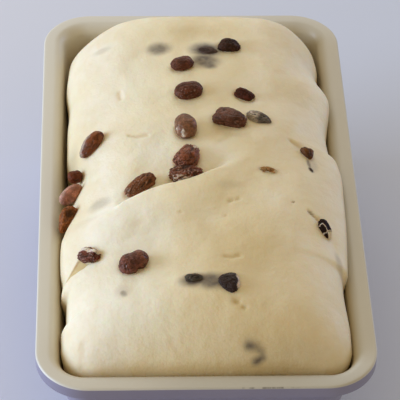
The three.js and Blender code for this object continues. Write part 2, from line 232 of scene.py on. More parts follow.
def add_skin(name, points, faces, material, nodes, marks):
    """Makes a smooth mesh piece from points in millimetres, with its named marks per point."""
    mesh = bpy.data.meshes.new(name)
    mesh.from_pydata((points * MM).tolist(), [], faces)
    mesh.polygons.foreach_set("use_smooth", [True] * len(mesh.polygons))
    for key, values in marks.items():
        layer = mesh.attributes.new(key, "FLOAT", "POINT")
        layer.data.foreach_set("value", np.ascontiguousarray(values, np.float32).ravel())
    mesh.materials.append(material)
    piece = bpy.data.objects.new(name, mesh)
    bpy.context.scene.collection.objects.link(piece)
    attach(piece, "root")
    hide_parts(*nodes)


# ---- shader maths ------------------------------------------------------------------------------

class Wire:
    """A shader value in a sum: + - and * with wires or numbers add Math nodes."""

    def __init__(self, paint, socket):
        self.paint = paint
        self.socket = socket

    def _math(self, operation, first, second):
        return self.paint.add("ShaderNodeMath", dict(operation=operation), {0: first, 1: second})

    def __add__(self, other):
        return self._math("ADD", self, other)

    def __radd__(self, other):
        return self._math("ADD", other, self)

    def __sub__(self, other):
        return self._math("SUBTRACT", self, other)

    def __rsub__(self, other):
        return self._math("SUBTRACT", other, self)

    def __mul__(self, other):
        return self._math("MULTIPLY", self, other)

    def __rmul__(self, other):
        return self._math("MULTIPLY", other, self)


class Paint:
    """One material: its Principled shader, and the nodes that feed it."""

    def __init__(self, name, **constants):
        self.material = bpy.data.materials.new(name)
        self.material.use_nodes = True
        self.tree = self.material.node_tree
        self.shader = self.tree.nodes["Principled BSDF"]
        for key, value in constants.items():
            self.shader.inputs[key.replace("_", " ")].default_value = value

    def add(self, kind, settings=None, values=None, output=0):
        """Adds a node of a kind, gives it its settings, then its values or links."""
        node = self.tree.nodes.new(kind)
        for key, value in (settings or {}).items():
            setattr(node, key, value)
        for key, value in (values or {}).items():
            self.feed(node.inputs[key], value)
        return Wire(self, node.outputs[output])

    def feed(self, socket, value):
        """Links a wire to a socket, or sets a plain value on it."""
        if isinstance(value, Wire):
            self.tree.links.new(value.socket, socket)
        else:
            socket.default_value = value

    def mark(self, name):
        """A value stored on the mesh, point by point."""
        return self.add("ShaderNodeAttribute", dict(attribute_name=name), output="Fac")

    def place(self):
        """Object coordinates, in metres."""
        return self.add("ShaderNodeTexCoord", output="Object")

    def axis(self, letter):
        """The X, Y or Z object coordinate, in millimetres."""
        split = self.add("ShaderNodeSeparateXYZ", values={"Vector": self.place()}, output=letter)
        return split * (1 / MM)

    def noise(self, size, detail, roughness, stretch=(1, 1, 1)):
        """Noise from 0 to 1 whose blobs are about size millimetres across."""
        spot = self.add("ShaderNodeMapping", values={"Vector": self.place(), "Scale": stretch})
        return self.add("ShaderNodeTexNoise", values={
            "Vector": spot, "Scale": 1 / (size * MM), "Detail": detail, "Roughness": roughness})

    def ramp(self, value, low, high, start=0.0, end=1.0):
        """value between low and high becomes start to end, in an even S."""
        return self.add("ShaderNodeMapRange", dict(interpolation_type="SMOOTHSTEP"), {
            "Value": value, "From Min": low, "From Max": high, "To Min": start, "To Max": end})

    def blend(self, factor, first, second):
        """Mixes two colours; a colour mix takes them at sockets 6 and 7 and gives socket 2."""
        return self.add("ShaderNodeMix", dict(data_type="RGBA"),
                        {"Factor": factor, 6: first, 7: second}, output=2)

    def relief(self, height, depth, strength):
        """Feeds a Bump node to the shader's Normal: height 0 to 1 is depth millimetres."""
        normal = self.add("ShaderNodeBump", values={
            "Height": height, "Distance": depth * MM, "Strength": strength})
        self.feed(self.shader.inputs["Normal"], normal)

    def finish(self, **wires):
        """Feeds what varies to the shader, and gives the material."""
        for key, value in wires.items():
            self.feed(self.shader.inputs[key.replace("_", " ")], value)
        return self.material


# ---- dough shape -------------------------------------------------------------------------------

def wall_lean(z):
    """How far the inner wall has come in at z, which is minus below the rim."""
    return -z * TAPER


OUTLINE_HALF_L = WALL_HALF_L - wall_lean(EDGE_Z - BACK_SINK) - GAP


def clefts(side, y):
    """How deep the short gaps are that open beside the dough: each depth starts and ends softly."""
    left = 1.6 * smooth(-81, -79.5, y) * (1 - smooth(-65, -62, y)) + 0.5 * bump(y, -56, 3.5)
    right = (1.2 * smooth(7.5, 9, y) * (1 - smooth(24, 38, y))
             + 1.4 * smooth(54, 57, -y) * (1 - smooth(58, 84, -y)))
    return np.where(side < 0, left, right)


# How far the dough's edge stands back from each long wall, as bells: amount, y, width
LEFT_STEPS = [(4.4, -2, 11), (2.0, -20, 8), (1.1, 24, 18), (1.3, 46, 10), (1.1, 84, 22), (-0.5, -40, 14)]
RIGHT_STEPS = [(0.8, 84, 14), (1.3, 64, 6), (-1.5, 45, 7), (-2.7, -20, 36), (-0.9, -2, 10)]


def stand_back(side, y):
    """How far the edge stays away from the wall: the bells' sum. Minus is a bulge over the wall."""
    left, right = (sum(amount * bump(y, middle, width) for amount, middle, width in steps)
                   for steps in (LEFT_STEPS, RIGHT_STEPS))
    left = left + 0.2 * smooth(74, 90, -y)
    return np.where(side < 0, left, right) + clefts(side, y)


def edge_height(side, y):
    """Height of the dough's edge: sunk where it stands back, lifted where it bulges."""
    back = stand_back(side, y)
    lift = np.where(back < 0, BULGE_LIFT * (1 - np.exp(1.2 * np.minimum(back, 0))), -1.1 * back)
    return EDGE_Z + lift - BACK_SINK * smooth(40, 100, y)


def corner_cut(radius, past):
    """What a quarter circle of that radius takes off, past where it begins."""
    reach = np.clip(past, 0, radius)
    return radius - np.sqrt(radius * radius - reach * reach)


def corner_radius(side, end):
    """Radius of the outline's corner at the left or right side of the front or back end."""
    return np.where(end > 0, np.where(side < 0, *BACK_CORNERS), np.where(side < 0, *FRONT_CORNERS))


def outline_x(side, y):
    """x of the dough's edge along a long side: the wall at the edge's height, less its steps."""
    z = np.minimum(edge_height(side, y), -ROLL)
    radius = corner_radius(side, y)
    cut = corner_cut(radius, np.abs(y) - (OUTLINE_HALF_L - radius))
    return side * (WALL_HALF_W - wall_lean(z) - GAP - stand_back(side, y) - cut)


def outline_y(end, x):
    """y of the dough's edge along an end: straight between two quarter circles."""
    radius = corner_radius(x, end)
    half_w = WALL_HALF_W - wall_lean(EDGE_Z) - GAP
    return end * (OUTLINE_HALF_L - corner_cut(radius, np.abs(x) - (half_w - radius)))


def fold_y(x):
    """The line across the loaf where the front roll of dough laps over the middle one.

    A slanting parabola with a slow wave and one bell added.
    """
    return (-15.9 + 0.6 * x + 0.0042 * x * x - 0.9 * np.sin((x + 9) / 6.6)
            + 0.9 * bump(x, -16, 9))


def shoulder(distance, width):
    """A quarter of a squared-off circle: steep at the edge, level after the width."""
    t = np.clip(distance / width, 0, 1)
    return (1 - (1 - t) ** ROUNDNESS) ** (1 / ROUNDNESS)


def from_path(x, y, path):
    """Distance from a path of points, and how far along it the nearest point is, 0 to 1."""
    best = np.full(np.shape(x), 1e9)
    along = np.zeros(np.shape(x))
    path = np.array(path, float)
    for k, (start, end) in enumerate(zip(path[:-1], path[1:])):
        run = end - start
        t = np.clip(((x - start[0]) * run[0] + (y - start[1]) * run[1]) / (run @ run), 0, 1)
        away = np.hypot(x - start[0] - t * run[0], y - start[1] - t * run[1])
        along = np.where(away < best, (k + t) / (len(path) - 1), along)
        best = np.minimum(away, best)
    return best, along


# The tan of each crease is painted shade.
CREASES = [  # path in plan, half widths at its two ends, depth, how tan it is
    ([(36.2, 6.6), (37.8, 5.4), (39.6, 4.0)], 1.0, 2.0, 0.9, 0.55),
    ([(40.4, -33.5), (41.2, -34.8), (42.2, -35.6), (43.6, -36.3)], 0.6, 0.6, 0.8, 0.9),
    ([(44, -37.4), (47.5, -42), (49.6, -47), (50.6, -52), (51.5, -56)], 1.6, 3.2, 0.9, 0.0),
    ([(-51, -58.6), (-54, -58.4)], 0.9, 0.7, 0.7, 0.2),
    ([(-27.5, 8.5), (-24, 7.2), (-20.5, 7.8)], 0.5, 1.2, 0.5, 0.5),
    ([(10.3, -31.3), (11.2, -30.9)], 0.7, 0.9, 0.6, 0.5),
    ([(13.0, -30.4), (13.8, -30.0)], 0.6, 0.8, 0.5, 0.5),
    ([(7.5, -61.8), (10, -62.4), (12.5, -61.6)], 1.0, 1.0, 0.5, 0.6),
    ([(10.5, -83.1), (11.0, -83.3)], 1.3, 1.3, 0.7, 0.9),
    ([(12.9, -85.2), (13.6, -85.5)], 0.8, 0.8, 0.6, 0.7),
    ([(-31, 37), (-30.4, 33)], 1.0, 0.8, 0.5, 0.3),
    ([(-45.4, -93), (-46.2, -99)], 1.5, 1.5, 0.45, 0.3),
    ([(8, 3), (14, 7.5), (20, 6.8)], 1.2, 1.2, 0.3, 0.0),
    ([(-13, -95.5), (-11, -97.8), (-9, -99.6)], 1.3, 1.3, 0.45, 0.2),
    ([(-10.2, -21.8), (-9.6, -22.0)], 0.5, 0.5, 0.5, 1.0),
    ([(34.5, -30.5), (34.8, -30.5)], 0.45, 0.45, 0.4, 1.0),
    ([(33.6, -32.4), (33.9, -32.4)], 0.35, 0.35, 0.3, 0.5),
    ([(-8.7, -38.9), (-8.4, -39.2)], 0.5, 0.5, 0.3, 0.5),
    ([(8.3, -39.2), (8.6, -39.4)], 0.5, 0.5, 0.3, 0.5),
]
# The hollow that a raisin has torn open beside it, made tan with painted shade, with its half widths
# along its path
HOLLOW_PATH = [(-44.2, -56.0), (-46.0, -57.0), (-47.8, -57.8), (-51.4, -59.0)]
HOLLOW_HALF_WIDTHS = (3.0, 2.9, 2.0, 0.3)
HOLLOW_DEPTH = 1.6


def hollow(x, y):
    """1 on the hollow's flat floor, falling to 0 at its edge."""
    away, along = from_path(x, y, HOLLOW_PATH)
    places = np.linspace(0, 1, len(HOLLOW_HALF_WIDTHS))
    return 1 - smooth(0.72, 1.12, away / np.interp(along, places, HOLLOW_HALF_WIDTHS))


def about_oval(x, y, middle, size, turn):
    """1 on the rim of an oval in plan, less inside it and more outside."""
    turn = math.radians(turn)
    dx, dy = x - middle[0], y - middle[1]
    lengthways = dx * math.cos(turn) + dy * math.sin(turn)
    sideways = dy * math.cos(turn) - dx * math.sin(turn)
    return np.hypot(lengthways / (size[0] / 2), sideways / (size[1] / 2))


def about_raisin(facts, points):
    """1 on a raisin's skin, less inside it and more outside."""
    local = (points - facts["middle"]) @ raisin_turn(facts)
    return np.linalg.norm(local / (np.array(facts["size"]) / 2), axis=-1)


def raisin_turn(facts):
    """The turn in plan, then the lean that lays the raisin on the dough's slope."""
    turn = Matrix.Rotation(math.radians(facts["turn"]), 3, "Z")
    if facts["tilt"] is not None:
        return np.array(turn @ Matrix.Rotation(-math.radians(facts["tilt"]), 3, "Y"))
    x, y = facts["middle"][:2]
    reach = 2.5
    slope_x = (dough_top(x + reach, y, False) - dough_top(x - reach, y, False)) / (2 * reach)
    slope_y = (dough_top(x, y + reach, False) - dough_top(x, y - reach, False)) / (2 * reach)
    normal = Vector((-float(slope_x), -float(slope_y), 1)).normalized()
    lean = Vector((0, 0, 1)).rotation_difference(normal).to_matrix()
    return np.array(lean @ turn)


DENTS = [  # soft dips and rises of the crown near its corners: middle, half sizes, height
    (-48, 94, 16, 17, -5.3), (52, 87, 12, 13, -3), (12, 90, 26, 14, 1.2),
]


def dough_top(x, y, fine=True):
    """Height of the dough over the rim: a crown inside round shoulders, lapped at the fold.

    The crown is a low dome. Just in front of the fold it swells, then rolls over in a round lip,
    and behind the fold it starts low and climbs back. The fold fades out towards the right, and
    left and right of its sharp stretch it is a soft dip. Fine adds swells, creases and the hollow.
    """
    left, right = outline_x(-1, y), outline_x(1, y)
    edge = mix(edge_height(-1, y), edge_height(1, y), np.clip((x - left) / (right - left), 0, 1))
    dome = (1 - (x / CROWN_HALF_W) ** 2) * (1 - 0.55 * (y / CROWN_HALF_L) ** 2)
    crown = CROWN_EDGE + CROWN_EXTRA * dome
    past = y - fold_y(np.minimum(x, 20))
    lap = 1 - smooth(0, 24, x)
    sharp = smooth(-34, -28, x) * (1 - smooth(1, 13, x))
    roll_over = LIP * (1 - np.sqrt(1 - np.clip((past + LIP) / LIP, 0, 1) ** 2))
    front = 1.7 * bump(past, -9, 13) - sharp * roll_over
    behind = -3.2 * np.exp(-np.maximum(past, 0) / 13)
    soft = 1 - sharp
    crown = crown + lap * mix(front, behind, smooth(-0.1 - 5 * soft, 0.3 + 6 * soft, past))
    crown = crown - 1.1 * bump(y - 0.12 * x, 28, 9)
    for cx, cy, rx, ry, height in DENTS:
        crown = crown + height * bump(x, cx, rx) * bump(y, cy, ry)
    crown = crown + 0.5 * np.sin(x / 13 + 1) * np.sin(y / 17) + 0.3 * np.sin((x - y) / 9)
    if fine:
        crown = crown + 0.16 * swell(x, y, 26, 3) + 0.07 * swell(x, y, 11, 4)
        for path, start, end, depth, _ in CREASES:
            away, along = from_path(x, y, path)
            crown = crown - depth * bump(away, 0, mix(start, end, along))
        crown = crown - HOLLOW_DEPTH * hollow(x, y)
    from_left, from_right = x - left, right - x
    from_left = from_left + clefts(-1, y) * (1 - bump(from_left, 0, 1.8))
    from_right = from_right + clefts(1, y) * (1 - bump(from_right, 0, 1.8))
    rise = (shoulder(from_left, SHOULDER) * shoulder(from_right, SHOULDER)
            * shoulder(y - outline_y(-1, x), SHOULDER)
            * shoulder(outline_y(1, x) - y, SHOULDER_BACK))
    return mix(edge, crown, rise)


SMUDGES = [  # dark patches over sunk raisins: middle, half sizes, turn, strength
    (-14.5, 62.9, 5.8, 4.6, 20, 0.75), (3.9, 54.0, 6.8, 6.2, 0, 0.86), (5.6, 50.2, 3.8, 2.8, 0, 0.80),
    (4.6, 61.4, 7.6, 6.0, -18, 1.05), (9.4, 62.2, 5.8, 3.4, 10, 0.5), (-37.9, 66.3, 4.0, 2.4, 0, 0.22),
    (34, -101, 26, 8, 0, 0.10), (-30.2, -77.4, 1.5, 2.0, 30, 0.62), (-30.6, -76.4, 3.6, 3.4, 0, 0.16),
    (-38.8, -26.0, 5.0, 3.6, 10, 0.30), (41.2, -34.3, 0.8, 1.9, 50, 0.55),
    (10.8, -23.1, 5.6, 3.0, 10, 0.14), (51.0, -54.0, 1.6, 5.0, 12, 0.30), (2.0, -74.4, 6.6, 4.6, 0, 0.90),
    (-4.0, -73.8, 6.8, 3.6, 8, 0.95), (7.4, -75.0, 4.8, 3.8, -8, 0.6), (43.2, -8.4, 0.9, 1.8, 24, 1.6),
    # On the next line, (-50.5, 7) is no sunk raisin but painted shade on the dough's left flank.
    (34.7, -30.6, 0.5, 0.5, 0, 0.9), (-50.5, 7, 3.0, 12, -4, 0.24), (42.6, -5.2, 0.9, 3.4, 8, 0.8),
    (44.0, -5.6, 2.6, 4.6, 0, 0.22), (23.8, 16.4, 6.0, 2.4, -20, 0.35),
]
# Tanner tones are partly the skin's own tan and partly painted shade; paler ones, with a minus, are
# painted light.
TONES = [  # tanner skin, or paler with a minus: middle, half sizes, strength
    (11, -56, 14, 24, 1.0), (28, -96, 15, 14, 0.75), (6, -97, 9, 8, 0.15), (34, -66, 12, 20, 0.20),
    (24, -56, 9, 14, 0.35), (23, -1, 9, 9, 0.5), (45, 77, 9, 9, 0.5), (1, 75, 9, 5, 0.9),
    (-50, -104, 8, 8, -0.8), (-25, -102, 10, 6, 0.4), (-49.5, 8, 3.5, 7, 0.3), (-49, 0, 9, 80, 0.65),
    (-21, -46, 12, 16, -1.0), (-35, -47, 9, 12, -0.9), (-38, -80, 9, 14, -0.6), (-28, 44, 13, 22, -0.6),
    (-18.5, -1, 9, 12, -1.0), (7.8, -4.5, 8, 8, -0.9), (4.5, -39, 9, 8, -0.7), (50, 37, 5, 9, -0.8),
    (-25, -84, 14, 16, -0.7), (42, -56, 8, 22, -0.4), (-32, -27, 10, 9, -0.6),
    (17, -99, 9, 7, 0.5),
]
# A raisin's shadow on the front slope: x and height over the rim
FRONT_SMUDGE = [(14.6, 8.1), (17.5, 7.6), (19.5, 5.9), (19.8, 4.1), (17.6, 2.8)]


def dough_marks(points):
    """Point values for the dough's colour, each the most or the sum of its soft spots.

    sunk: over sunk raisins, and on the left flank painted shade. stain: round raisins, part raisin
    juice and part painted contact shade. tan: painted shade in creases, the hollow and near the edge.
    warm and pale: broad tones; the first partly own tan and partly painted shade, pale painted light.
    """
    x, y, z = points[:, 0], points[:, 1], points[:, 2] - RIM_Z
    sunk = np.zeros_like(x)
    for cx, cy, rx, ry, turn, strength in SMUDGES:
        near = about_oval(x, y, (cx, cy), (2 * rx, 2 * ry), turn)
        sunk = np.maximum(sunk, strength * (1 - smooth(0.3, 1.25, near)))
    away, along = from_path(x, z, FRONT_SMUDGE)
    ends = 0.55 + 0.4 * bump(along, 1, 0.25) + 0.3 * bump(along, 0, 0.2)
    sunk = np.maximum(sunk, (y < -90) * ends * bump(away, 0, 1.7))
    # A ring round each raisin, part raisin juice and part painted contact shade.
    stain_and_shade = np.zeros_like(x)
    for facts in RAISINS.values():
        stain_and_shade = np.maximum(stain_and_shade, 1 - smooth(1.0, 1.5, about_raisin(facts, points)))
    # Tan is painted shade: in the creases, on the hollow's floor and along the edge by the wall.
    tan = np.zeros_like(x)
    for path, start, end, _, strength in CREASES:
        away, along = from_path(x, y, path)
        tan = np.maximum(tan, strength * bump(away, 0, 0.9 * mix(start, end, along)))
    tan = np.maximum(tan, 1.1 * hollow(x, y))
    near_edge = np.minimum(np.minimum(x - outline_x(-1, y), outline_x(1, y) - x), y - outline_y(-1, x))
    tan = np.maximum(tan, 0.42 * (1 - smooth(0.1, 1.6, near_edge)))
    # Broad tones: tanner is partly own tan and partly painted shade, paler is painted light.
    tone = sum(k * bump(x, cx, rx) * bump(y, cy, ry) for cx, cy, rx, ry, k in TONES)
    return dict(sunk=sunk, stain_and_shade=stain_and_shade, tan=tan, tan_and_painted_shade=np.maximum(tone, 0), pale=np.maximum(-tone, 0))


def crowd(count):
    """Values from -1 to 1 that come closer together at both ends: a line mixed with a sine."""
    t = np.linspace(-1, 1, count)
    return mix(t, np.sin(t * np.pi / 2), 0.45)


def dough_sheet(rows, columns):
    """The top as rows of points across the outline, drawn together and bent along the fold."""
    along = OUTLINE_HALF_L * crowd(rows)[:, None]
    middle = fold_y(0.0)
    along = along - 0.45 * (along - middle) * bump(along, middle, 12)
    u = (crowd(columns)[None, :] + 1) / 2
    bend = fold_y(np.minimum(mix(-WALL_HALF_W, WALL_HALF_W, u), 16.0)) - middle
    y = along + bend * bump(along, middle, 32) * (1 - (along / OUTLINE_HALF_L) ** 8)
    x = mix(outline_x(-1, y), outline_x(1, y), u)
    sheet = np.stack([x, y, RIM_Z + dough_top(x, y)], -1).reshape(-1, 3)
    for facts in RAISINS.values():
        if not facts["recess"] and not facts["sunken"]:
            sheet[:, 2] -= 0.4 * (1 - smooth(0.9, 1.2, about_raisin(facts, sheet)))
    return sheet


def dough_skin():
    """The sheet, then rings from its edge down the wall and round its foot, and a flat base.

    Each ring is a rectangle with round corners. Going down, the edge's own corner radius and the
    places where it stands back fade out.
    """
    rows, columns = 381, 201
    sheet = dough_sheet(rows, columns)
    points = [sheet]
    faces = grid_faces(rows, columns)

    index = np.arange(rows * columns).reshape(rows, columns)
    edge = np.concatenate([index[0, :-1], index[:-1, -1], index[-1, :0:-1], index[:0:-1, 0]])
    top = sheet[edge]
    side = np.where(top[:, 0] < 0, -1, 1)
    on_end = np.abs(top[:, 1]) > OUTLINE_HALF_L - 0.01
    edge_corner = corner_radius(side, top[:, 1])
    corner_x = WALL_HALF_W - wall_lean(EDGE_Z) - GAP - edge_corner
    back = np.maximum(stand_back(side, top[:, 1]), 0)
    floor = SHEET + GAP
    fading = 5.5
    rings = [(top[:, 2] - drop, math.exp(-(drop / fading) ** 2), 0) for drop in (1.2, 3, 6, 10, 16, 26)]
    for angle in np.radians([0, 30, 60, 90]):
        level = floor + FLOOR_ROUND * (1 - math.sin(angle))
        rings.append((np.full(len(edge), level), 0, FLOOR_ROUND * (1 - math.cos(angle))))
    above = edge
    count = len(sheet)
    for level, keep, inset in rings:
        lean = wall_lean(np.minimum(level - RIM_Z, -ROLL * 0.5)) + GAP + inset
        half_w, half_l = WALL_HALF_W - lean, WALL_HALF_L - lean
        radius = mix(WALL_CORNER + 0.5, edge_corner, keep)
        ring_y = top[:, 1] / OUTLINE_HALF_L * half_l
        cut = corner_cut(radius, np.abs(ring_y) - (half_l - radius))
        ring_x = np.where(on_end, top[:, 0] / corner_x * (half_w - radius),
                          side * (half_w - cut - keep * back))
        points.append(np.stack([ring_x, ring_y, level], -1))
        current = count + np.arange(len(edge))
        following = np.roll(current, -1)
        faces += np.stack([current, following, np.roll(above, -1), above], -1).tolist()
        above = current
        count += len(edge)
    points.append(np.array([[0.0, 0.0, floor]]))
    faces += fan_faces(above[::-1], count)
    points = np.concatenate(points)
    return points, faces, dough_marks(points)


# ---- raisins -----------------------------------------------------------------------------------

def valleys(points, seed, width=0.4):
    """1 on broad ridges, falling to 0 along the branching lines where a noise is near nothing."""
    return np.minimum(np.abs(lattice(points, seed)) / width, 1) ** 0.6


def toward(way, facts, heading):
    """About 1 where a raisin faces a plan heading, and about -1 on its far side.

    The aim is tipped up by 0.1, which makes it a little longer than 1, so both are just passed.
    """
    heading = math.radians(heading - facts["turn"])
    return way @ (math.cos(heading), math.sin(heading), 0.1)


def raisin_marks(way, facts, seed, ridge):
    """Point values for a raisin's colour: ridges, torn pale dough skin (a painted highlight and sheen on
    raisins 11, 12 and 14), redder end, dough skin over it.

    The film covers what faces its heading, and noise frays its edge and breaks it in patches.
    """
    amount, heading, near, patchy = facts["film_and_sheen"]
    edge = toward(way, facts, heading) + 0.25 * lattice(way * 3, seed + 7)
    patches = smooth(-0.05, 0.12, lattice(way * (5, 9, 9), seed + 9))
    soft, limit = facts["soft"], facts["limit"]
    film_and_sheen = amount * smooth(near - soft, near + soft, edge) * mix(1, patches, patchy)
    film_and_sheen = film_and_sheen * (1 - smooth(limit - 0.06, limit + 0.06, edge))
    veil = np.zeros(len(way))
    if facts["cracks"]:
        x, y, wobble = way[:, 0], way[:, 1], 0.07 * lattice(way * 4, seed + 10)
        lengthways = bump(y + wobble - 0.1 * x, -0.50, 0.06) * smooth(-0.5, -0.3, x)
        across = bump(x + wobble, 0.42, 0.05) + bump(x + wobble, -0.45, 0.05) * (y < -0.5)
        film_and_sheen = np.minimum(lengthways + across, 1)
        veil = smooth(0.46, 0.56, x + wobble) * smooth(-0.55, -0.42, y)
    if facts["ragged"]:
        veil = smooth(0.45, 0.6, lattice(way * (6, 9, 9), seed + 11))
    ruddy = facts["ruddy"] * smooth(0.0, 1.0, way[:, 0])
    return dict(ridge=ridge, film_and_sheen=film_and_sheen, ruddy=ruddy, veil=veil)


def raisin_skin(facts, number):
    """A ball with its poles on x, squared off a little, and drawn in along creases.

    The creases are where a noise is near nothing, so they branch and join; long ones are
    stretched along x, and two finer sets run over them. Slow lumps make each raisin uneven.
    """
    rings, around = 88, 128
    t = np.linspace(0, np.pi, rings + 2)[1:-1, None]
    a = np.linspace(0, 2 * np.pi, around, endpoint=False)[None, :]
    way = np.stack([np.cos(t) + 0 * a, np.sin(t) * np.cos(a), np.sin(t) * np.sin(a)], -1)
    way = np.concatenate([way.reshape(-1, 3), [[1, 0, 0], [-1, 0, 0]]])
    seed = 50 * number
    drift = np.stack([lattice(way * 1.7 + k, seed + k) for k in range(3)], -1)
    warped = way + 0.30 * drift
    lumps = lattice(way * 1.3 + 5, seed + 4)
    long_crease = valleys(warped * (1.2, 2.9, 2.9) + 2, seed + 5)
    fine_crease = valleys(warped * (2.8, 5.6, 5.6), seed + 6)
    hair = valleys(warped * (4.2, 9.5, 9.5) + 3, seed + 8, 0.5)
    ridge = 0.42 * long_crease + 0.33 * fine_crease + 0.25 * hair
    blunt = facts["blunt"]
    round_off = np.sum(np.abs(way) ** blunt, -1) ** (-1 / blunt)
    reach = round_off * (1.03 + facts["uneven"] * lumps - facts["fold"] * (1 - ridge))
    where, depth, heading = facts["waist"]
    # Known fault: facing falls a little under 0 opposite the heading. The power of that isn't a
    # number, so a small patch of points on each raisin has no place.
    facing = 0.5 + 0.5 * toward(way, facts, heading)
    drawn_in = bump(way[:, 0], where, facts["narrow"]) * (0.3 + 0.7 * facing ** 1.3)
    reach = reach * (1 - depth * drawn_in)
    if facts["pit"]:
        middle, radius, depth = facts["pit"]
        dent = bump(np.linalg.norm(way - middle, axis=-1), 0, radius)
        reach = reach * (1 - depth * dent)
        ridge = ridge * (1 - dent)
    pinch = 1 - facts["taper"] * way[:, 0]
    half = np.array(facts["size"]) / 2
    points = way * reach[:, None] * half * np.stack([0 * pinch + 1, pinch, pinch], -1)
    faces = grid_faces(rings, around, wrap=True)
    first, last = np.arange(around), (rings - 1) * around + np.arange(around)
    count = rings * around
    faces += fan_faces(first[::-1], count) + fan_faces(last, count + 1)
    return points, faces, raisin_marks(way, facts, seed, ridge)


def placed_raisin(facts, number):
    """A raisin leant, turned and moved to its place; the dough's skin fades out over its foot."""
    points, faces, marks = raisin_skin(facts, number)
    points = points @ raisin_turn(facts).T + facts["middle"]
    over = points[:, 2] - RIM_Z - dough_top(points[:, 0], points[:, 1], False)
    if facts["ragged"]:
        over = over + 0.35 * lattice(points * 1.3, number)
    marks["veil"] = np.maximum(marks["veil"], 1 - smooth(0, facts["sunken"] or VEIL, over))
    return points, faces, marks


# ---- tin ---------------------------------------------------------------------------------------

def tin_profile():
    """The folded sheet's outline: rows of inset, level, corner radius, outside and deep.

    The outline runs from the middle of the underside out, up the wall, out under the rim, down
    and up round its turned edge, over the flat, down the inside and back to the middle.
    """
    rows = []

    def add(inset, level, corner, outside, deep=0):
        rows.append((inset, level, corner, outside, deep))

    def inner(z):
        return WALL_INSET + wall_lean(z - RIM_Z)

    def outer(z):
        return inner(z) - SHEET

    outer_round = FLOOR_ROUND + SHEET
    outer_corner = WALL_CORNER + SHEET
    base_inset = outer(0) + outer_round + 30
    base_corner = 6
    under_rim = RIM_Z - SHEET
    fillet = 1.6
    nick = 0.2
    add(base_inset, 0, base_corner, 1)
    add(outer(0) + outer_round + 0.5, 0, WALL_CORNER - 0.8, 1)
    for a in np.linspace(0, np.pi / 2, 9):
        z = outer_round * (1 - math.cos(a))
        add(outer(z) + outer_round * (1 - math.sin(a)), z, outer_corner - FLOOR_TUCK * math.cos(a), 1)
    for z in np.linspace(outer_round, under_rim - fillet, 6)[1:-1]:
        add(outer(z), z, outer_corner, 1)
    for a in np.linspace(0, np.pi / 2, 6):
        add(outer(under_rim - fillet) - fillet * (1 - math.cos(a)),
            under_rim - fillet * (1 - math.sin(a)), outer_corner + fillet * (1 - math.cos(a)), 1)
    add(SHEET + nick, under_rim, RIM_CORNER - SHEET, 1)
    add(SHEET, under_rim - nick, RIM_CORNER - SHEET, 1)
    for a in np.linspace(0, np.pi, 7):
        add(SHEET / 2 + SHEET / 2 * math.cos(a), RIM_Z - SKIRT + SHEET / 2 * (1 - math.sin(a)),
            RIM_CORNER - SHEET / 2 - SHEET / 2 * math.cos(a), 1)
    for z in (RIM_Z - 3.2, RIM_Z - 1.2, RIM_Z - RIM_EDGE - 0.12):
        add(0, z, RIM_CORNER, 1)
    for a in np.linspace(0, np.pi / 2, 7):
        add(RIM_EDGE * (1 - math.cos(a)), RIM_Z - RIM_EDGE * (1 - math.sin(a)), RIM_CORNER, 0)
    add(FLAT / 2, RIM_Z, RIM_CORNER - FLAT / 2, 0)
    for a in np.linspace(0, np.pi / 2, 11):
        drop = ROLL * (1 - math.cos(a))
        add(FLAT + ROLL * math.sin(a) + wall_lean(-drop) * math.sin(a), RIM_Z - drop,
            mix(RIM_CORNER - FLAT, WALL_CORNER, math.sin(a)), 0, math.sin(a))
    for z in np.linspace(RIM_Z - ROLL, SHEET + FLOOR_ROUND, 8)[1:-1]:
        add(inner(z), z, WALL_CORNER, 0, 1)
    for a in np.linspace(np.pi / 2, 0, 9):
        z = SHEET + FLOOR_ROUND * (1 - math.cos(a))
        add(inner(z) + FLOOR_ROUND * (1 - math.sin(a)), z, WALL_CORNER - FLOOR_TUCK * math.cos(a), 0, 1)
    add(base_inset, SHEET, base_corner, 0, 1)
    return rows


def tin_round():
    """The way round the tin: the corner that each step belongs to, and the angle it faces."""
    steps, runs = 20, 24
    angle = np.linspace(0, np.pi / 2, steps + 1)
    sx, sy, turn = [], [], []
    corners = [(1, 1), (-1, 1), (-1, -1), (1, -1)]
    for k, (this, following) in enumerate(zip(corners, corners[1:] + corners[:1])):
        sx += [this[0]] * (steps + 1)
        sy += [this[1]] * (steps + 1)
        turn += list(angle + k * np.pi / 2)
        for t in np.linspace(0, 1, runs)[1:-1]:
            sx.append(mix(this[0], following[0], t))
            sy.append(mix(this[1], following[1], t))
            turn.append((k + 1) * np.pi / 2)
    return (np.array(row, float)[None, :] for row in (sx, sy, turn))


def tin_skin():
    """The profile carried round a rectangle with round corners, closed under and on the floor."""
    inset, level, corner, outside, deep = np.array(tin_profile(), float).T[:, :, None]
    sx, sy, turn = tin_round()
    x = sx * (RIM_HALF_W - inset - corner) + corner * np.cos(turn)
    y = sy * (RIM_HALF_L - inset - corner) + corner * np.sin(turn)
    points = np.stack([x, y, level + 0 * x], -1)
    rows, around = x.shape
    faces = grid_faces(rows, around, wrap=True)
    points = np.concatenate([points.reshape(-1, 3), [[0, 0, 0], [0, 0, SHEET]]])
    first, last = np.arange(around), (rows - 1) * around + np.arange(around)
    faces += fan_faces(first[::-1], rows * around) + fan_faces(last, rows * around + 1)
    marks = dict(outside=np.concatenate([(outside + 0 * x).ravel(), [1, 0]]),
                 deep=np.concatenate([(deep + 0 * x).ravel(), [0, 1]]))
    return points, faces, marks


# ---- finishes ----------------------------------------------------------------------------------

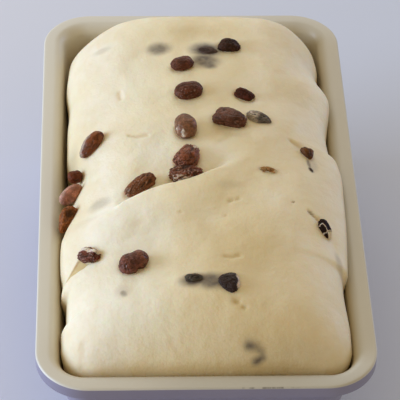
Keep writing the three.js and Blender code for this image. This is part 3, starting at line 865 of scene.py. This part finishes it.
def dough_finish():
    """Pale raw dough: soft, faintly mottled and grey over sunk raisins, with painted shade tan in its
    creases and painted light and shade in broad tones.
    """
    paint = Paint("raw_dough", Subsurface_Weight=0.35, Subsurface_Scale=0.004,
                  Subsurface_Radius=(1.0, 0.62, 0.34), Specular_IOR_Level=0.35)
    x, sunk = paint.axis("X"), paint.mark("sunk")
    darkest = paint.ramp(sunk, 0.8, 1.3)
    mottle = paint.ramp(paint.noise(22, 4, 0.55), 0.35, 0.68)
    blotch = paint.ramp(paint.noise(7, 4, 0.6), 0.38, 0.66)
    specks = paint.ramp(paint.noise(2.2, 3, 0.6), 0.60, 0.74)
    # Painted light makes a band left of the middle lighter and yellower. Down the middle the dough is
    # tanner, partly its own tan and partly painted shade.
    painted_light_band = paint.ramp(x, -38, -24) * paint.ramp(x, 0, -14)
    tan_and_shade_middle = paint.ramp(x, -18, -2) * paint.ramp(x, 32, 12)
    colour = paint.blend(mottle, (0.86, 0.76, 0.55, 1), (0.90, 0.82, 0.65, 1))
    for mask, tone in (
            (blotch * 0.30, (0.80, 0.67, 0.43, 1)),
            (specks * 0.14, (0.78, 0.64, 0.42, 1)),
            (painted_light_band * 0.7, (0.97, 0.86, 0.60, 1)),
            (tan_and_shade_middle * 0.38, (0.87, 0.73, 0.40, 1)),
            # broad tones: tanner partly painted shade, paler painted light
            (paint.mark("tan_and_painted_shade"), (0.75, 0.61, 0.35, 1)),
            (paint.mark("pale"), (0.98, 0.91, 0.75, 1)),
            # ring round each raisin: part juice, part painted contact shade
            (paint.mark("stain_and_shade") * 0.35, (0.66, 0.46, 0.24, 1)),
            # tan: painted shade in creases, the hollow and along the edge
            (paint.mark("tan") * 0.85, (0.60, 0.43, 0.18, 1)),
            (sunk * paint.ramp(paint.noise(2.6, 2, 0.5), 0.3, 0.7, 0.88, 1.08),
             (0.115, 0.088, 0.072, 1)),
            (darkest, (0.055, 0.028, 0.014, 1))):
        colour = paint.blend(mask, colour, tone)
    pores = paint.noise(0.9, 2, 0.6)
    skin = paint.noise(7.5, 4, 0.52)
    paint.relief(0.12 * pores + skin, 1.2, 0.6)
    rough = paint.ramp(skin, 0.3, 0.7, 0.50, 0.66) + 0.3 * darkest
    return paint.finish(Base_Color=colour, Roughness=rough)


def tinted(colour, factor, lift=0):
    """A colour times a factor, lifted a little if asked, with the alpha that sockets want."""
    return tuple(min(channel * factor + lift, 1) for channel in colour) + (1,)


def raisin_finish(name, facts):
    """Dried grape skin: painted shade darkens its creases and painted highlights light its ridges; it is
    pale under torn dough skin, a painted sheen on some, and under the veil.
    """
    skin, gloss = facts["skin"], facts["gloss"]
    paint = Paint(name, Subsurface_Weight=0.25, Subsurface_Scale=0.0012,
                  Subsurface_Radius=(1.0, 0.35, 0.15), Specular_Tint=(1.0, 0.72, 0.50, 1),
                  Specular_IOR_Level=mix(0.12, 0.36, gloss), Coat_Roughness=mix(0.32, 0.14, gloss))
    ridge, ruddy = paint.mark("ridge"), paint.mark("ruddy")
    depth = mix(0.75, 0.22, min(facts["fold"] / 0.2, 1))
    patch = paint.ramp(paint.noise(2.4, 3, 0.55), 0.32, 0.70)
    colour = paint.blend(patch, tinted(skin, 0.62), tinted(skin, 1.25))
    colour = paint.blend(ruddy * patch, colour, (0.24, 0.080, 0.024, 1))
    # Painted shade: darker in the creases.
    colour = paint.blend(paint.ramp(ridge, 0.30, 0.85), tinted(skin, depth), colour)
    # Painted highlights: lighter specks on the ridges.
    painted_glints = paint.ramp(paint.noise(0.8, 2, 0.5), 0.56, 0.66) * paint.ramp(ridge, 0.55, 0.9)
    colour = paint.blend(painted_glints * (0.6 * gloss), colour, tinted(skin, 2.0, 0.03))
    # Painted sparkle: pale highlight specks on the ridges.
    spots = paint.ramp(paint.noise(0.75, 3, 0.6), 0.56, 0.62) * paint.ramp(ridge, 0.45, 0.8)
    colour = paint.blend(spots * facts["painted_sparkle"] * (1 - ruddy), colour, (0.76, 0.63, 0.55, 1))
    veil = (0.150, 0.118, 0.095, 1) if facts["shaded"] else (0.70, 0.60, 0.42, 1)
    colour = paint.blend(paint.mark("veil"), colour, veil)
    # Torn pale dough skin, and on raisins 11, 12 and 14 a painted highlight and sheen.
    film_and_sheen = paint.mark("film_and_sheen") * paint.ramp(paint.noise(0.9, 3, 0.6), 0.30, 0.46)
    colour = paint.blend(film_and_sheen, colour, (0.76, 0.64, 0.52, 1))
    grain = paint.noise(0.75, 3, 0.65)
    paint.relief(grain, 0.34, 0.75)
    rough = paint.ramp(grain, 0.40, 0.62, mix(0.48, 0.24, gloss), 0.60) + 0.2 * film_and_sheen
    shine = 0.30 * gloss * gloss
    return paint.finish(Base_Color=colour, Roughness=rough, Coat_Weight=shine * (1 - film_and_sheen))


def tin_finish():
    """Baked-on cream coating with a dull lilac-grey outside, and scuffs on the rim's edge.

    The cream is lighter towards the left with painted light, darker along the front with painted shade,
    and deep inside painted shade and reflected dough make it darker and yellower.
    """
    paint = Paint("cream_coating", Specular_IOR_Level=0.5, Coat_Roughness=0.25)
    x, y, z = (paint.axis(letter) for letter in "XYZ")
    cloud = paint.noise(40, 3, 0.5)
    clouding = paint.ramp(cloud, 0.3, 0.7)
    speck = paint.ramp(paint.noise(1.0, 2, 0.5), 0.70, 0.78)
    cream = paint.blend(clouding, (0.580, 0.540, 0.455, 1), (0.610, 0.573, 0.480, 1))
    # Painted light: lighter towards the left.
    cream = paint.blend(paint.ramp(x, 55, -55, 0, 0.6), cream, (0.76, 0.73, 0.65, 1))
    # Painted shade: darker along the front of the rim, from the middle rightwards.
    front = paint.ramp(y, -98, -108) * paint.ramp(x, -30, 0)
    cream = paint.blend(front * 0.35, cream, (0.44, 0.41, 0.335, 1))
    cream = paint.blend(speck * 0.12, cream, (0.40, 0.36, 0.26, 1))
    lilac = paint.blend(clouding, (0.235, 0.215, 0.300, 1), (0.260, 0.238, 0.325, 1))
    colour = paint.blend(paint.mark("outside"), cream, lilac)
    # Painted shade and reflected dough colour: darker and yellower deep inside, more towards the front.
    inside = paint.ramp(paint.mark("deep"), 0.45, 1.0) * paint.ramp(y, 110, -20, 0.3, 0.75)
    colour = paint.blend(inside, colour, (0.54, 0.45, 0.27, 1))
    front_edge = (paint.ramp(y, 0.55 - RIM_HALF_L, 0.15 - RIM_HALF_L)
                  * paint.ramp(z, RIM_Z - 0.75, RIM_Z - 0.45))
    span = paint.ramp(x, 8, 14) * paint.ramp(x, 34, 28)
    chips = paint.ramp(paint.noise(3.4, 4, 0.7, (1, 0.1, 0.1)), 0.46, 0.60)
    colour = paint.blend(front_edge * span * chips * 0.7, colour, (0.13, 0.11, 0.10, 1))
    peel = paint.noise(1.1, 2, 0.5)
    paint.relief(peel, 0.05, 0.35)
    rough = paint.ramp(cloud, 0.3, 0.7, 0.36, 0.46)
    return paint.finish(Base_Color=colour, Roughness=rough, Coat_Weight=0.15 * (1 - speck))


def floor_finish():
    """A plain pale lavender table top with faint clouding, made lighter towards the left with painted
    light.
    """
    paint = Paint("pale_table", Specular_IOR_Level=0.3)
    cloud = paint.ramp(paint.noise(60, 3, 0.5), 0.3, 0.7)
    colour = paint.blend(cloud, (0.628, 0.680, 0.842, 1), (0.642, 0.694, 0.856, 1))
    # Painted light: lighter towards the left.
    colour = paint.blend(paint.ramp(paint.axis("X"), 150, -150), colour, (0.74, 0.77, 0.90, 1))
    rough = paint.ramp(cloud, 0.0, 1.0, 0.55, 0.65)
    return paint.finish(Base_Color=colour, Roughness=rough)


# ---- the whole ---------------------------------------------------------------------------------

points, faces, marks = tin_skin()
add_skin("tin_skin", points, faces, tin_finish(), ["loaf_tin"], marks)

points, faces, marks = dough_skin()
add_skin("dough_skin", points, faces, dough_finish(), ["dough"], marks)

for number, (node, facts) in enumerate(RAISINS.items(), 1):
    points, faces, marks = placed_raisin(facts, number)
    finish = raisin_finish(node + "_skin", facts)
    add_skin(node + "_skin", points, faces, finish, [node], marks)

floor_mesh = bpy.data.meshes.new("table_top")
reach = 2.5  # metres from the middle to each edge
corners = [(-reach, -reach, 0), (reach, -reach, 0), (reach, reach, 0), (-reach, reach, 0)]
floor_mesh.from_pydata(corners, [], [(0, 1, 2, 3)])
floor_mesh.materials.append(floor_finish())
table_top = bpy.data.objects.new("table_top", floor_mesh)
bpy.context.scene.collection.objects.link(table_top)


def add_light(name, spot, size, power, colour):
    """A square soft light of a size in metres, facing the loaf."""
    lamp = bpy.data.lights.new(name, "AREA")
    lamp.size = size
    lamp.energy = power
    lamp.color = colour
    holder = bpy.data.objects.new(name, lamp)
    holder.location = spot
    holder.rotation_mode = "QUATERNION"
    holder.rotation_quaternion = (Vector((0, 0, 0)) - Vector(spot)).to_track_quat("-Z", "Y")
    bpy.context.scene.collection.objects.link(holder)


# Where each light stands in metres, its size, its power in watts and its colour
add_light("window", (-1.45, -0.127, 0.363), 0.9, 25.7, (0.57, 0.733, 1.0))
add_light("back_fill", (0, 1.30, 0.75), 1.2, 5.3, (0.859, 0.932, 1.0))
add_light("sky_fill", (1.224, 0.857, 0.131), 0.9, 7.2, (0.213, 0.454, 1.0))

world = bpy.data.worlds.new("room")
world.use_nodes = True
background = world.node_tree.nodes["Background"]
background.inputs["Color"].default_value = (1.0, 0.838, 0.571, 1)
background.inputs["Strength"].default_value = 0.518
bpy.context.scene.world = world
bpy.context.scene.view_settings.view_transform = "Standard"

# The camera: where it stands round the loaf, how it is tilted, how far it is, and its lens
ELEVATION, AZIMUTH, TILT = math.radians(42), math.radians(-3.1), math.radians(1.71)
AIM = Vector((0.3, -9.2, RIM_Z)) * MM
DISTANCE, LENS = 0.874, 200.6
back = Vector((math.sin(AZIMUTH) * math.cos(ELEVATION), -math.cos(AZIMUTH) * math.cos(ELEVATION),
               math.sin(ELEVATION)))
lens = bpy.data.cameras.new("camera")
lens.lens = LENS
lens.clip_start, lens.clip_end = 0.05, 20
camera = bpy.data.objects.new("camera", lens)
camera.location = AIM + back * DISTANCE
camera.rotation_mode = "QUATERNION"
roll = Matrix.Rotation(TILT, 3, "Z").to_quaternion()
camera.rotation_quaternion = (-back).to_track_quat("-Z", "Y") @ roll
bpy.context.scene.collection.objects.link(camera)
bpy.context.scene.camera = camera
